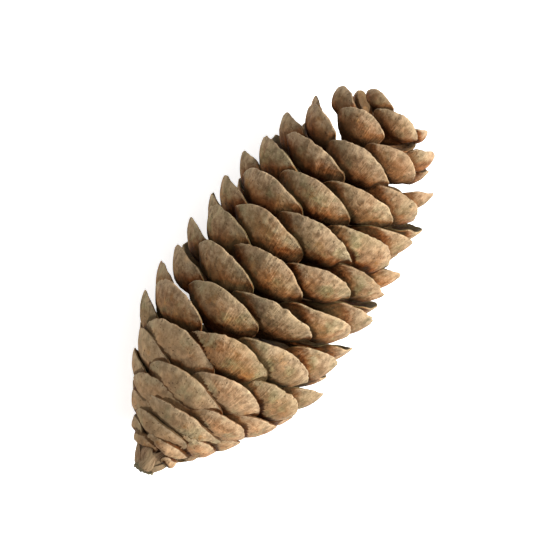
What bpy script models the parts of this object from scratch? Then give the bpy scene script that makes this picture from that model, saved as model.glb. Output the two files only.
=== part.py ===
"""A dry, open cone of the spruce kind, lying on its side.

A cone grows as one piece of wood: a thin axis with a broken stub of stalk at one end, and cupped
scales that stand on it in a golden-angle spiral. Each scale leans towards the tip of the cone.
All of it is joined here in one closed body. Units are metres, +Z is up, and the cone lies along X
with its stalk at -X and its tip at +X.
"""
import math
import random

import bmesh
import bpy
from mathutils import Matrix, Vector

MM = 0.001

# The whole cone. A station is a distance from the broken end of the stalk, along the axis.
CONE_LENGTH = 60 * MM
CONE_RADIUS = 14.1 * MM
WIDEST_STATION = 24 * MM
STALK_LENGTH = 2.5 * MM
STALK_RADIUS = 1.6 * MM
BASE_ROUNDNESS = 1.6
TOP_BLUNTNESS = 0.4
TOP_OVERRUN = 0.7 * MM
SLOPE_STEP = 0.3 * MM

# The spiral: each scale stands a golden angle round the axis from the one below it
SCALE_COUNT = 104
GOLDEN_ANGLE = math.radians(137.508)
FIRST_TURN = math.radians(74.8)
FIRST_STATION = 4.225 * MM
RISE_AT_BASE = 0.50 * MM
RISE_IN_MIDDLE = 0.55 * MM
RISE_AT_TOP = 0.30 * MM
BASE_SCALES = (0, 10)
TOP_SCALES = (95, 106)

# The outline of one scale. A scale fans out from a narrow claw to a round end with a faint point.
SCALE_HALF_WIDTH = 5.6 * MM
CLAW_SHARE = 0.36
FANNING = 1.15
ROUND_END = 0.42
ROUND_END_TO_WIDTH = 0.72
POINT_SHARE = 0.07
POINT_SHARPNESS = 4
WIDENING_STATIONS = (3 * MM, 10 * MM)
LEAST_WIDTH_SHARE = 0.55
TOP_NARROWING = 0.45
WIDTH_TO_RADIUS = 0.95
WIDTH_BEYOND_RADIUS = 0.6 * MM

# The section of one scale: a thin blade, swollen on its outer side and cupped round the cone
BLADE_THICKNESS = 0.65 * MM
SWELLING = 2.1 * MM
SHUT_SWELLING_SHARE = 0.45
TOP_FLATTENING = 0.4
INNER_SWELLING_SHARE = 0.6
SWELLING_RISE = (0.30, 0.70)
SWELLING_FALL_TO_MARGIN = 4
SWELLING_FALL_TO_SIDES = 2.5
CUPPING = 15.0
WRAPPING = 0.75
LEAST_WRAP_HEADING = 0.2
LEAST_WRAP_RADIUS = 3 * MM

# The mid line of one scale, by its angles to the axis: the lean of its tip and of its root
SHUT_LIFT = math.radians(15)
OPEN_LEAN = math.radians(50)
SHUT_ROOT_LEAN = math.radians(60)
OPEN_ROOT_LEAN = math.radians(80)
CLOSING_TURN = math.radians(14)
CLOSING_ROOT_TURN = math.radians(12)
TOP_TURN = math.radians(10)
OPEN_STATIONS = (18.5 * MM, 26.5 * MM)
CLOSING_STATIONS = (46 * MM, 60 * MM)
TOP_STATIONS = (53 * MM, 60 * MM)
ROOT_DROP = 8 * MM
LOWEST_ROOT_STATION = 1 * MM
ROOT_DEPTH_SHARE = 0.5
OUTER_SHARE = 0.5
LEAST_INNER_PART = 0.2 * MM

# How unlike each other the scales are
SEED = 1004
LEAN_SPREAD = math.radians(3.5)
SHUT_SPREAD_SHARE = 0.3
TURN_SPREAD = math.radians(2.2)
WIDTH_SPREAD = 0.06
ROLL_SPREAD = math.radians(4)

# The mesh of one scale: rows from its root to its margin, and how many rays fan out to each
RAY_ANGLE = math.radians(112)
ROWS = (0.0, 0.62, 1.0)
RAYS = (3, 5, 7)

# The axis and the solid base that the scales stand on: stations and radii
AXIS_PROFILE = (
    (0.0, 1.6 * MM),
    (1.4 * MM, 1.6 * MM),
    (3.5 * MM, 2.1 * MM),
    (7 * MM, 4.2 * MM),
    (11 * MM, 6.9 * MM),
    (16 * MM, 5.6 * MM),
    (20 * MM, 3.0 * MM),
    (34 * MM, 2.8 * MM),
    (50 * MM, 2.3 * MM),
    (58 * MM, 0.8 * MM),
)
AXIS_SIDES = 10

# The cone lies on its lowest scales. Their tips are worn flat at this distance from the axis.
REST_RADIUS = 13.5 * MM

# Faces that meet at less than the flat angle are one face, and edges sharper than the smooth
# angle stay crisp
FLAT_ANGLE = math.radians(0.5)
SMOOTH_ANGLE = math.radians(35)


def ease(value, start, end):
    """Rise smoothly from 0 at the start to 1 at the end."""
    share = min(max((value - start) / (end - start), 0.0), 1.0)
    return share * share * (3 - 2 * share)


def tip_radius(station):
    """Distance of the scale tips from the axis: a cone at the base, a barrel, a blunt top."""
    if station < WIDEST_STATION:
        short = (WIDEST_STATION - station) / (WIDEST_STATION - STALK_LENGTH)
        return STALK_RADIUS + (CONE_RADIUS - STALK_RADIUS) * (1 - min(short, 1) ** BASE_ROUNDNESS)
    past = (station - WIDEST_STATION) / (CONE_LENGTH + TOP_OVERRUN - WIDEST_STATION)
    return CONE_RADIUS * (1 - min(past, 1) ** 3) ** TOP_BLUNTNESS


def tip_slope(station):
    """Angle of the outline of the tips against the axis."""
    rise = tip_radius(station + SLOPE_STEP) - tip_radius(station - SLOPE_STEP)
    return math.atan2(rise, 2 * SLOPE_STEP)


def axis_radius(station):
    """Radius of the axis, read from its profile."""
    for (start, near), (end, far) in zip(AXIS_PROFILE, AXIS_PROFILE[1:]):
        if station <= end:
            return near + (far - near) * (station - start) / (end - start)
    return AXIS_PROFILE[-1][1]


def scale_stations():
    """Station of each scale's tip, from the lowest scale to the topmost."""
    stations = []
    station = FIRST_STATION
    for number in range(SCALE_COUNT):
        stations.append(station)
        above_base = ease(number, *BASE_SCALES)
        near_top = ease(number, *TOP_SCALES)
        rise = RISE_AT_BASE + (RISE_IN_MIDDLE - RISE_AT_BASE) * above_base
        station += rise - (RISE_IN_MIDDLE - RISE_AT_TOP) * near_top
    return stations


class Scale:
    """One scale: its place on the spiral, its lean, its width and its own small differences."""

    def __init__(self, number, station):
        chance = random.Random(SEED + number)
        opened = ease(station, *OPEN_STATIONS)
        closing = ease(station, *CLOSING_STATIONS)
        radius = tip_radius(station)

        shut_lean = max(tip_slope(station), 0) + SHUT_LIFT
        lean = shut_lean + (OPEN_LEAN - shut_lean) * opened
        lean -= CLOSING_TURN * closing + TOP_TURN * ease(station, *TOP_STATIONS)
        spread = SHUT_SPREAD_SHARE + (1 - SHUT_SPREAD_SHARE) * opened
        lean += chance.gauss(0, LEAN_SPREAD) * spread
        root_lean = SHUT_ROOT_LEAN + (OPEN_ROOT_LEAN - SHUT_ROOT_LEAN) * opened
        root_lean -= CLOSING_ROOT_TURN * closing
        turn = FIRST_TURN - GOLDEN_ANGLE * number + chance.gauss(0, TURN_SPREAD)

        grown = ease(station, *WIDENING_STATIONS)
        width = SCALE_HALF_WIDTH * (LEAST_WIDTH_SHARE + (1 - LEAST_WIDTH_SHARE) * grown)
        width *= (1 - TOP_NARROWING * closing) * (1 + chance.gauss(0, WIDTH_SPREAD))
        self.half_width = min(width, WIDTH_TO_RADIUS * radius + WIDTH_BEYOND_RADIUS)
        self.roll = chance.gauss(0, ROLL_SPREAD)
        self.swelling = SWELLING * (SHUT_SWELLING_SHARE + (1 - SHUT_SWELLING_SHARE) * opened)
        self.swelling *= 1 - TOP_FLATTENING * closing
        self.outward = Vector((0, -math.sin(turn), math.cos(turn)))
        self.sideways = Vector((0, -math.cos(turn), -math.sin(turn)))

        # The mid line is a curve through the root, a knee and the tip: (station, radius)
        root_station = max(station - ROOT_DROP, LOWEST_ROOT_STATION)
        root_radius = ROOT_DEPTH_SHARE * axis_radius(root_station)
        outer_part = OUTER_SHARE * (radius - root_radius)
        self.tip = Vector((station, radius))
        self.knee = self.tip - outer_part * Vector((math.cos(lean), math.sin(lean)))
        inner_part = max((self.knee.y - root_radius) / math.sin(root_lean), LEAST_INNER_PART)
        self.root = self.knee - inner_part * Vector((math.cos(root_lean), math.sin(root_lean)))
        length = (self.tip - self.knee).length + (self.knee - self.root).length
        self.round_end = min(ROUND_END, ROUND_END_TO_WIDTH * self.half_width / length)

    def point(self, ray, reach, side):
        """A point of the blade: side is +1 on the outer face and -1 on the inner face."""
        margin_across = self.half_width * math.sin(ray)
        margin_along = 1 - self.round_end * (1 - math.cos(ray))
        margin_along += POINT_SHARE * (max(math.cos(ray), 0) ** POINT_SHARPNESS - 1)
        root_across = CLAW_SHARE * self.half_width * ray / RAY_ANGLE
        across = root_across + (margin_across - root_across) * reach ** FANNING
        along = margin_along * reach

        before = 1 - along
        place = before ** 2 * self.root + 2 * before * along * self.knee + along ** 2 * self.tip
        heading = before * (self.knee - self.root) + along * (self.tip - self.knee)
        heading.normalize()
        away = heading.x * self.outward - heading.y * Vector((1, 0, 0))

        curving = WRAPPING * max(heading.x, LEAST_WRAP_HEADING) / max(place.y, LEAST_WRAP_RADIUS)
        curving += CUPPING * (1 + along) / 2
        normal = (away + across * curving * self.sideways).normalized()
        middle = 1 - min(abs(across) / self.half_width, 1) ** SWELLING_FALL_TO_SIDES
        swelling = self.swelling * middle * (1 - reach ** SWELLING_FALL_TO_MARGIN)
        swelling *= ease(along, *SWELLING_RISE)
        if side > 0:
            offset = BLADE_THICKNESS / 2 + swelling
        else:
            offset = INNER_SWELLING_SHARE * swelling - BLADE_THICKNESS / 2

        point = Vector((place.x, 0, 0)) + place.y * self.outward
        point += across * (math.cos(self.roll) * self.sideways + math.sin(self.roll) * away)
        return point - 0.5 * across ** 2 * curving * away + offset * normal


def strip_between(low, high):
    """Triangles between two rows of points that may hold unlike numbers of them."""
    triangles = []
    left = right = 0
    while left < len(low) - 1 or right < len(high) - 1:
        low_share = (left + 0.5) / (len(low) - 1)
        high_share = (right + 0.5) / (len(high) - 1)
        if high_share <= low_share:
            triangles.append((low[left], high[right], high[right + 1]))
            right += 1
        else:
            triangles.append((low[left], high[right], low[left + 1]))
            left += 1
    return triangles


def rim_loop(rows):
    """The points round the edge of one face of a scale, in order."""
    left = [row[0] for row in rows]
    right = [row[-1] for row in reversed(rows)]
    return left + rows[-1][1:-1] + right + rows[0][-2:0:-1]


def scale_object(scale, name, collection):
    """One scale as a closed blade, with both faces split into triangles alike."""
    mesh_data = bmesh.new()
    faces = []
    for side in (1, -1):
        rows = []
        for reach, rays in zip(ROWS, RAYS):
            row = []
            for index in range(rays):
                ray = RAY_ANGLE * (2 * index / (rays - 1) - 1)
                row.append(mesh_data.verts.new(scale.point(ray, reach, side)))
            rows.append(row)
        faces.append(rows)
        for low, high in zip(rows, rows[1:]):
            for triangle in strip_between(low, high):
                mesh_data.faces.new(triangle[::side])

    outer, inner = (rim_loop(rows) for rows in faces)
    for index in range(len(outer)):
        after = (index + 1) % len(outer)
        mesh_data.faces.new((outer[index], inner[index], inner[after]))
        mesh_data.faces.new((outer[index], inner[after], outer[after]))
    bmesh.ops.recalc_face_normals(mesh_data, faces=mesh_data.faces)

    mesh = bpy.data.meshes.new(name)
    mesh_data.to_mesh(mesh)
    mesh_data.free()
    blade = bpy.data.objects.new(name, mesh)
    collection.objects.link(blade)
    return blade


def axis_object(name):
    """The woody axis, with the stub of stalk and the solid base, turned about X."""
    mesh_data = bmesh.new()
    rings = []
    for station, radius in AXIS_PROFILE:
        ring = []
        for index in range(AXIS_SIDES):
            turn = 2 * math.pi * index / AXIS_SIDES
            place = (station, -radius * math.sin(turn), radius * math.cos(turn))
            ring.append(mesh_data.verts.new(place))
        rings.append(ring)
    for ring, next_ring in zip(rings, rings[1:]):
        for index in range(AXIS_SIDES):
            after = (index + 1) % AXIS_SIDES
            mesh_data.faces.new((ring[index], next_ring[index], next_ring[after], ring[after]))
    mesh_data.faces.new(rings[0])
    mesh_data.faces.new(rings[-1][::-1])
    bmesh.ops.recalc_face_normals(mesh_data, faces=mesh_data.faces)
    mesh = bpy.data.meshes.new(name)
    mesh_data.to_mesh(mesh)
    mesh_data.free()
    axis = bpy.data.objects.new(name, mesh)
    bpy.context.scene.collection.objects.link(axis)
    return axis


def apply_boolean(body, operation, operand):
    """Join a collection to the body, or cut an object from it, and keep the result."""
    boolean = body.modifiers.new(operation.lower(), "BOOLEAN")
    boolean.operation = operation
    boolean.solver = "EXACT"
    if isinstance(operand, bpy.types.Collection):
        boolean.operand_type = "COLLECTION"
        boolean.collection = operand
    else:
        boolean.object = operand
    bpy.context.view_layer.update()
    evaluated = body.evaluated_get(bpy.context.evaluated_depsgraph_get())
    mesh = bpy.data.meshes.new_from_object(evaluated)
    body.modifiers.remove(boolean)
    body.data = mesh


def keep_outer_body(body):
    """Drop loose scraps and fill hollows that are sealed in: only the largest shell stays."""
    mesh_data = bmesh.new()
    mesh_data.from_mesh(body.data)
    unseen = set(mesh_data.faces)
    shells = []
    while unseen:
        shell = set()
        front = [unseen.pop()]
        while front:
            face = front.pop()
            shell.add(face)
            for edge in face.edges:
                for neighbour in edge.link_faces:
                    if neighbour in unseen:
                        unseen.remove(neighbour)
                        front.append(neighbour)
        shells.append(shell)
    shells.sort(key=len)
    for shell in shells[:-1]:
        bmesh.ops.delete(mesh_data, geom=list(shell), context="FACES")
    bmesh.ops.dissolve_limit(
        mesh_data,
        angle_limit=FLAT_ANGLE,
        verts=mesh_data.verts,
        edges=mesh_data.edges,
    )
    bmesh.ops.triangulate(mesh_data, faces=mesh_data.faces)
    mesh_data.to_mesh(body.data)
    mesh_data.free()


def wood_material():
    """Dry brown scale wood."""
    material = bpy.data.materials.new("cone_wood")
    material.use_nodes = True
    shader = material.node_tree.nodes["Principled BSDF"]
    shader.inputs["Base Color"].default_value = (0.36, 0.22, 0.12, 1)
    shader.inputs["Roughness"].default_value = 0.75
    shader.inputs["Metallic"].default_value = 0.0
    return material


def build_cone():
    """Join the scales to the axis, wear the lowest tips flat, and set the origin below."""
    cone = axis_object("cone")
    scales = bpy.data.collections.new("scales")
    bpy.context.scene.collection.children.link(scales)
    for number, station in enumerate(scale_stations()):
        scale_object(Scale(number, station), f"scale_{number:03d}", scales)
    apply_boolean(cone, "UNION", scales)
    for blade in list(scales.objects):
        bpy.data.objects.remove(blade)
    bpy.data.collections.remove(scales)

    bpy.ops.mesh.primitive_cube_add(size=2 * CONE_LENGTH)
    floor = bpy.context.object
    floor.location = (CONE_LENGTH / 2, 0, -REST_RADIUS - CONE_LENGTH)
    apply_boolean(cone, "DIFFERENCE", floor)
    bpy.data.objects.remove(floor)
    keep_outer_body(cone)

    xs = [vertex.co.x for vertex in cone.data.vertices]
    ys = [vertex.co.y for vertex in cone.data.vertices]
    centre = Vector(((min(xs) + max(xs)) / 2, (min(ys) + max(ys)) / 2, -REST_RADIUS))
    cone.data.transform(Matrix.Translation(-centre))
    cone.data.materials.append(wood_material())
    cone.data.shade_smooth()
    cone.data.set_sharp_from_angle(angle=SMOOTH_ANGLE)
    return cone


for old in list(bpy.data.objects):
    bpy.data.objects.remove(old)
build_cone()
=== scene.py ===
"""The looks of a dry, open cone of the spruce kind, lying on its side on a pale table."""
import math
import random

import bpy
import numpy as np
from mathutils import Matrix, Vector, noise
from mathutils.bvhtree import BVHTree


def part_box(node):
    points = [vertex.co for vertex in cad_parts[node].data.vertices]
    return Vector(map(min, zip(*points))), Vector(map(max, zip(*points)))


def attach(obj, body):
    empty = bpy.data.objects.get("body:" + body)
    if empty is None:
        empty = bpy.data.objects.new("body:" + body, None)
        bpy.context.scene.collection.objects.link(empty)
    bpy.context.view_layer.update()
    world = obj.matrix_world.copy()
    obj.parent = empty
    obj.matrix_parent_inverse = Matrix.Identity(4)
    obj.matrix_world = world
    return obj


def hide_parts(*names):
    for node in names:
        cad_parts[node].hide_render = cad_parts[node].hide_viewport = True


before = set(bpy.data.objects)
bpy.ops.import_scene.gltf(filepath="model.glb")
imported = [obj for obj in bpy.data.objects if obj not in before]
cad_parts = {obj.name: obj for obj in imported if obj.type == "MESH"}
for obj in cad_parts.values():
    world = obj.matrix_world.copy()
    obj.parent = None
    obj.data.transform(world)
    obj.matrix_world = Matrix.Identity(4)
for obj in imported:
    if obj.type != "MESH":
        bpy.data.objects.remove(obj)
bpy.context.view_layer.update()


# The axis
# A thin spindle of wood runs through the whole cone and carries every scale. It grew with them,
# tapers to the tip, and swells to a solid heart inside the closed base.
MM = 0.001
END_TOLERANCE = 0.1 * MM
cad_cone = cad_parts["cone"]
stalk_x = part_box("cone")[0][0]
stalk_ring = [v.co for v in cad_cone.data.vertices if v.co.x < stalk_x + END_TOLERANCE]
axis_y = sum(place.y for place in stalk_ring) / len(stalk_ring)
axis_z = sum(place.z for place in stalk_ring) / len(stalk_ring)
axis_start = Vector((stalk_x, axis_y, axis_z))

AXIS_PROFILE = (
    (0.0, 1.6 * MM),
    (1.4 * MM, 1.6 * MM),
    (3.5 * MM, 2.1 * MM),
    (7 * MM, 4.2 * MM),
    (11 * MM, 6.9 * MM),
    (16 * MM, 5.6 * MM),
    (20 * MM, 3.0 * MM),
    (34 * MM, 2.8 * MM),
    (50 * MM, 2.3 * MM),
    (58 * MM, 0.8 * MM),
)
AXIS_START = 2.5 * MM
AXIS_END = 57.5 * MM
AXIS_WEAR = 0.95
AXIS_SIDES = 48
AXIS_RINGS = 90
AXIS_FLUTES = 13
AXIS_FLUTE_TWISTS = 9
AXIS_FLUTE_DEPTH = 0.12 * MM
AXIS_GRAIN_LENGTH = 10
AXIS_DARK = (0.045, 0.022, 0.010, 1)
AXIS_PALE = (0.150, 0.080, 0.036, 1)
AXIS_FADED = (0.10, 0.07, 0.04, 1)

# The grain and the weathering that all the wood shares
GRAIN_ALONG = 2.6
GRAIN_SHIFT = 57.0
GRAIN_DETAIL = 4.0
GRAIN_ROUGHNESS = 0.62
GRAIN_EDGES = (0.28, 0.72)
PATCH_DETAIL = 5.0
PATCH_ROUGHNESS = 0.6
PATCH_EDGES = (0.38, 0.66)
GRIT_SCALE = 2600.0
GRIT_DETAIL = 2.0
GRIT_ROUGHNESS = 0.5
GRIT_EDGES = (0.63, 0.72)
GRIT_COLOUR = (0.05, 0.028, 0.014, 1)


def ease(value, start, end):
    """Rise smoothly from 0 at the start to 1 at the end."""
    share = min(max((value - start) / (end - start), 0.0), 1.0)
    return share * share * (3 - 2 * share)


def axis_radius(station):
    """Radius of the axis at a distance from the stalk's end."""
    for (start, near), (end, far) in zip(AXIS_PROFILE, AXIS_PROFILE[1:]):
        if station <= end:
            return near + (far - near) * (station - start) / (end - start)
    return AXIS_PROFILE[-1][1]


def round_axis(turn, station, radius):
    """A point at a distance along the axis and from it, turned round it from the top."""
    outward = Vector((0, -math.sin(turn), math.cos(turn)))
    return axis_start + Vector((station, 0, 0)) + radius * outward


def mesh_piece(name, points, faces, marks):
    """An object from points and faces, with one number per point for each named mark."""
    mesh = bpy.data.meshes.new(name)
    mesh.from_pydata(points, [], faces)
    for label, values in marks.items():
        mesh.attributes.new(label, "FLOAT", "POINT").data.foreach_set("value", values)
    mesh.shade_smooth()
    piece = bpy.data.objects.new(name, mesh)
    bpy.context.scene.collection.objects.link(piece)
    return piece


def turned_faces(rings, sides, start=0):
    """Faces of a closed body made of rings of points, one after another."""
    faces = []
    for ring in range(rings - 1):
        low = start + ring * sides
        high = low + sides
        for side in range(sides):
            after = (side + 1) % sides
            faces.append((low + side, high + side, high + after, low + after))
    faces.append(tuple(start + side for side in range(sides)))
    faces.append(tuple(start + (rings - 1) * sides + side for side in reversed(range(sides))))
    return faces


def connect(tree, made, inputs):
    """Give a node its inputs: each is a plain value or another node's output."""
    for socket, value in inputs.items():
        if isinstance(value, bpy.types.NodeSocket):
            tree.links.new(value, made.inputs[socket])
        else:
            made.inputs[socket].default_value = value
    return made.outputs


def add_node(tree, kind, inputs, **settings):
    """Add a shader node, and return its outputs."""
    made = tree.nodes.new(kind)
    for setting, value in settings.items():
        setattr(made, setting, value)
    return connect(tree, made, inputs)


def maths(tree, operation, *values):
    """One sum of numbers."""
    return add_node(tree, "ShaderNodeMath", dict(enumerate(values)), operation=operation)[0]


def mark(tree, name):
    """A number that the mesh carries at each of its points."""
    return add_node(tree, "ShaderNodeAttribute", {}, attribute_name=name)["Fac"]


def blend(tree, share, first, second, mode="MIX"):
    """Mix two colours. The sockets are a Mix node's own for colours."""
    inputs = {0: share, 6: first, 7: second}
    return add_node(tree, "ShaderNodeMix", inputs, data_type="RGBA", blend_type=mode)[2]


def between(tree, value, start, end, low=0.0, high=1.0):
    """Map a number smoothly from start..end to low..high, and hold it outside."""
    inputs = {"Value": value, "From Min": start, "From Max": end, "To Min": low, "To Max": high}
    return add_node(tree, "ShaderNodeMapRange", inputs, interpolation_type="SMOOTHSTEP")[0]


def clouds(tree, place, scale, detail, roughness):
    """Cloudy noise from 0 to 1."""
    inputs = {"Vector": place, "Scale": scale, "Detail": detail, "Roughness": roughness}
    return add_node(tree, "ShaderNodeTexNoise", inputs)[0]


def add_bump(tree, shader, height, distance, strength):
    """Let a height bend the normals of a material."""
    inputs = {"Height": height, "Distance": distance, "Strength": strength}
    bent = add_node(tree, "ShaderNodeBump", inputs)[0]
    tree.links.new(bent, shader.inputs["Normal"])


def new_group(name, inputs, outputs):
    """An empty shader group with named inputs and outputs, and its two end nodes."""
    group = bpy.data.node_groups.new(name, "ShaderNodeTree")
    for label, kind, value in inputs:
        socket = group.interface.new_socket(label, in_out="INPUT", socket_type=kind)
        socket.default_value = value
    for label, kind in outputs:
        group.interface.new_socket(label, in_out="OUTPUT", socket_type=kind)
    return group, group.nodes.new("NodeGroupInput").outputs, group.nodes.new("NodeGroupOutput")


def fibre_grain():
    """Fine streaks that run along the growth of the wood, as a shade and as a height."""
    group, given, result = new_group(
        "Fibre grain",
        (
            ("Across", "NodeSocketFloat", 0.0),
            ("Along", "NodeSocketFloat", 0.0),
            ("Seed", "NodeSocketFloat", 0.0),
            ("Streaks", "NodeSocketFloat", 20.0),
        ),
        (("Shade", "NodeSocketFloat"), ("Height", "NodeSocketFloat")),
    )
    place = add_node(
        group,
        "ShaderNodeCombineXYZ",
        {
            "X": maths(group, "MULTIPLY", given["Across"], given["Streaks"]),
            "Y": maths(group, "MULTIPLY", given["Along"], GRAIN_ALONG),
            "Z": maths(group, "MULTIPLY", given["Seed"], GRAIN_SHIFT),
        },
    )[0]
    streaks = clouds(group, place, 1.0, GRAIN_DETAIL, GRAIN_ROUGHNESS)
    group.links.new(between(group, streaks, *GRAIN_EDGES), result.inputs["Shade"])
    group.links.new(streaks, result.inputs["Height"])
    return group


def weathering():
    """Uneven fading: patches where a second colour comes through the first, and dark specks."""
    group, given, result = new_group(
        "Weathering",
        (
            ("Colour", "NodeSocketColor", (0.4, 0.3, 0.2, 1)),
            ("Faded", "NodeSocketColor", (0.3, 0.3, 0.3, 1)),
            ("Amount", "NodeSocketFloat", 0.5),
            ("Patch size", "NodeSocketFloat", 0.004),
            ("Specks", "NodeSocketFloat", 0.5),
        ),
        (("Colour", "NodeSocketColor"),),
    )
    place = group.nodes.new("ShaderNodeTexCoord").outputs["Object"]
    patch_scale = maths(group, "DIVIDE", 1.0, given["Patch size"])
    patches = clouds(group, place, patch_scale, PATCH_DETAIL, PATCH_ROUGHNESS)
    faded = maths(group, "MULTIPLY", between(group, patches, *PATCH_EDGES), given["Amount"])
    colour = blend(group, faded, given["Colour"], given["Faded"])
    grit = clouds(group, place, GRIT_SCALE, GRIT_DETAIL, GRIT_ROUGHNESS)
    speck = maths(group, "MULTIPLY", between(group, grit, *GRIT_EDGES), given["Specks"])
    group.links.new(blend(group, speck, colour, GRIT_COLOUR), result.inputs["Colour"])
    return group


GRAIN = fibre_grain()
FADING = weathering()


def grouped(tree, group, inputs):
    """Place a shared group in a material, with this material's own values."""
    made = tree.nodes.new("ShaderNodeGroup")
    made.node_tree = group
    return connect(tree, made, inputs)


def new_material(name, roughness, specular):
    """A material with its Principled shader and tree, ready for the nodes of its colour."""
    material = bpy.data.materials.new(name)
    material.use_nodes = True
    shader = material.node_tree.nodes["Principled BSDF"]
    shader.inputs["Roughness"].default_value = roughness
    shader.inputs["Specular IOR Level"].default_value = specular
    return material, material.node_tree, shader


def axis_wood():
    """Dark brown fibrous wood, dark all over since the scales leave it little light, and streaked
    along its length.
    """
    material, tree, shader = new_material("axis_wood", roughness=0.85, specular=0.2)
    grain = grouped(
        tree,
        GRAIN,
        {"Across": mark(tree, "ray"), "Along": mark(tree, "reach"), "Seed": 0.31, "Streaks": 60.0},
    )
    colour = blend(tree, grain["Shade"], AXIS_DARK, AXIS_PALE)
    faded = grouped(
        tree,
        FADING,
        {"Colour": colour, "Faded": AXIS_FADED, "Amount": 0.5, "Patch size": 0.005},
    )
    tree.links.new(faded["Colour"], shader.inputs["Base Color"])
    add_bump(tree, shader, grain["Height"], distance=0.15 * MM, strength=0.8)
    return material


def build_axis():
    """Rings of points along the axis, fluted where the rows of scales leave it."""
    points, marks = [], {"ray": [], "reach": []}
    for ring in range(AXIS_RINGS):
        along = ring / (AXIS_RINGS - 1)
        station = AXIS_START + (AXIS_END - AXIS_START) * along
        for side in range(AXIS_SIDES):
            turn = 2 * math.pi * side / AXIS_SIDES
            flute = math.sin(AXIS_FLUTES * turn + AXIS_FLUTE_TWISTS * math.tau * along)
            radius = AXIS_WEAR * axis_radius(station) + AXIS_FLUTE_DEPTH * (flute - 1)
            points.append(round_axis(turn, station, radius))
            marks["ray"].append(abs(2 * side / AXIS_SIDES - 1))
            marks["reach"].append(AXIS_GRAIN_LENGTH * along)
    return mesh_piece("axis", points, turned_faces(AXIS_RINGS, AXIS_SIDES), marks)


axis = build_axis()
axis.data.materials.append(axis_wood())
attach(axis, "root")
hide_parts("cone")


# The stub of stalk
# The cone hung by a short woody stalk, and broke off when it fell. What is left is a stub with a
# torn end, where the pale fibres inside the brown bark show.
STUB_LENGTH = 4.2 * MM
STUB_RADIUS = 1.5 * MM
STUB_SIDES = 64
STUB_RINGS = 26
STUB_END_RINGS = 10
TEAR_DEPTH = 0.8 * MM
TEAR_SLANT = 0.9 * MM
STUB_RIDGE = 0.14
STUB_KNOT = 0.12
STUB_FLARE = 0.22
STUB_TAPER = 0.04
RIDGE_WAVES = 2.4
RIDGE_SHIFT = 3.1
KNOTS_PER_METRE = 900
TEAR_LEVEL = 0.5
TEAR_WAVES = 4
TEAR_SHIFT = 8.7
TEAR_SHARE = 0.6
SPLINTER_WAVES = 11
SPLINTER_SHIFT = 2.2
SPLINTER_SHARE = 0.5
TORN_RADIUS_SHARE = 0.94
TORN_MIDDLE_SHARE = 0.6
FIBRES_PER_METRE = 3000
FIBRE_SHARE = 0.6
FIBRE_START = 3
LEAST_RADIUS = 0.02 * MM
BARK_DARK = (0.105, 0.068, 0.033, 1)
BARK_PALE = (0.290, 0.215, 0.115, 1)
FIBRE_DARK = (0.16, 0.115, 0.058, 1)
FIBRE_PALE = (0.42, 0.335, 0.190, 1)
STALK_FADED = (0.235, 0.215, 0.120, 1)
BARK_END = (0.88, 1.08)


def noise_round(turn, waves, shift):
    """Smooth noise round the axis."""
    return noise.noise(Vector((waves * math.cos(turn), waves * math.sin(turn), shift)))


def build_stub():
    """Side wall from the cone to the tear, then rings that close the torn end."""
    points, marks = [], {"ray": [], "reach": []}
    for ring in range(STUB_RINGS + STUB_END_RINGS):
        for side in range(STUB_SIDES):
            turn = math.tau * side / STUB_SIDES
            ridge = noise_round(turn, RIDGE_WAVES, RIDGE_SHIFT)
            torn = noise_round(turn, TEAR_WAVES, TEAR_SHIFT)
            splinter = noise_round(turn, SPLINTER_WAVES, SPLINTER_SHIFT)
            tear = TEAR_LEVEL + TEAR_SHARE * torn + SPLINTER_SHARE * splinter
            edge = TEAR_DEPTH * min(max(tear, 0), 1)
            edge += TEAR_SLANT * (1 + math.cos(turn)) / 2
            if ring < STUB_RINGS:
                along = ring / (STUB_RINGS - 1)
                station = STUB_LENGTH + (edge - STUB_LENGTH) * along
                knot = noise_round(turn, 1, KNOTS_PER_METRE * station)
                swollen = 1 + STUB_RIDGE * ridge + STUB_KNOT * knot
                radius = STUB_RADIUS * (swollen - STUB_TAPER * along)
                radius *= 1 + STUB_FLARE * (1 - along) ** 2
                marks["reach"].append(along)
            else:
                inner = (ring - STUB_RINGS + 1) / STUB_END_RINGS
                radius = STUB_RADIUS * (TORN_RADIUS_SHARE + STUB_RIDGE * ridge) * (1 - inner)
                radius += LEAST_RADIUS
                fibre = Vector((radius * math.cos(turn), radius * math.sin(turn), 0))
                fibre = FIBRE_SHARE * TEAR_DEPTH * noise.noise(fibre * FIBRES_PER_METRE)
                station = edge * (1 - inner) + TEAR_DEPTH * inner * TORN_MIDDLE_SHARE
                station = max(station + fibre * min(FIBRE_START * inner, 1), 0)
                marks["reach"].append(1 + inner)
            points.append(round_axis(turn, station, radius))
            marks["ray"].append(abs(2 * side / STUB_SIDES - 1))
    faces = [face[::-1] for face in turned_faces(STUB_RINGS + STUB_END_RINGS, STUB_SIDES)]
    return mesh_piece("stalk_stub", points, faces, marks)


def stalk_wood():
    """Grey-brown bark on the side, and straw-coloured fibres at the tear."""
    material, tree, shader = new_material("stalk_wood", roughness=0.85, specular=0.25)
    reach = mark(tree, "reach")
    grain = grouped(
        tree, GRAIN, {"Across": mark(tree, "ray"), "Along": reach, "Seed": 0.77, "Streaks": 34.0}
    )
    bark = blend(tree, grain["Shade"], BARK_DARK, BARK_PALE)
    fibres = blend(tree, grain["Shade"], FIBRE_DARK, FIBRE_PALE)
    colour = blend(tree, between(tree, reach, *BARK_END), bark, fibres)
    faded = grouped(
        tree,
        FADING,
        {"Colour": colour, "Faded": STALK_FADED, "Amount": 0.7, "Patch size": 0.0014},
    )
    tree.links.new(faded["Colour"], shader.inputs["Base Color"])
    add_bump(tree, shader, grain["Height"], distance=0.25 * MM, strength=1.0)
    return material


stub = build_stub()
stub.data.materials.append(stalk_wood())
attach(stub, "root")
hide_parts("cone")


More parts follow.
